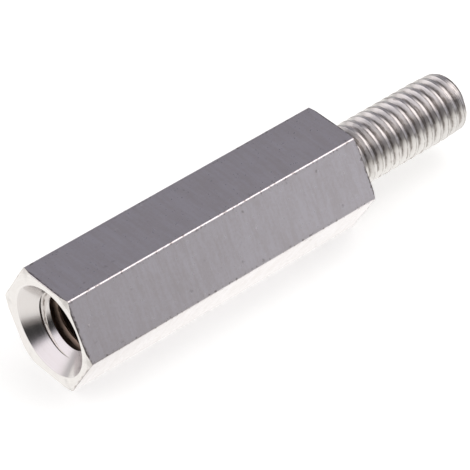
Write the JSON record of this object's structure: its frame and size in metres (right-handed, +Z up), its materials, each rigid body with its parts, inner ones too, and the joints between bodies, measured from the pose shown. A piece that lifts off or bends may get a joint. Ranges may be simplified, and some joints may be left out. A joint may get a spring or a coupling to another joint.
{
  "type": "hex standoff",
  "caption": "Male-female hexagonal standoff in plated steel, with a countersunk tapped hole in one end and a threaded stud on the other.",
  "frame": {"origin": "centre of the shoulder that the stud grows from, on the standoff's axis", "axes": "+X along the axis from the tapped end towards the tip of the stud; +Z up, square to the flat that the bar lies on"},
  "size_m": [0.023, 0.0058, 0.005],
  "materials": {
    "plated_steel": "bright nickel plating over turned and drawn steel"
  },
  "bodies": {
    "root": {"standoff": "plated_steel"}
  },
  "joints": []
}
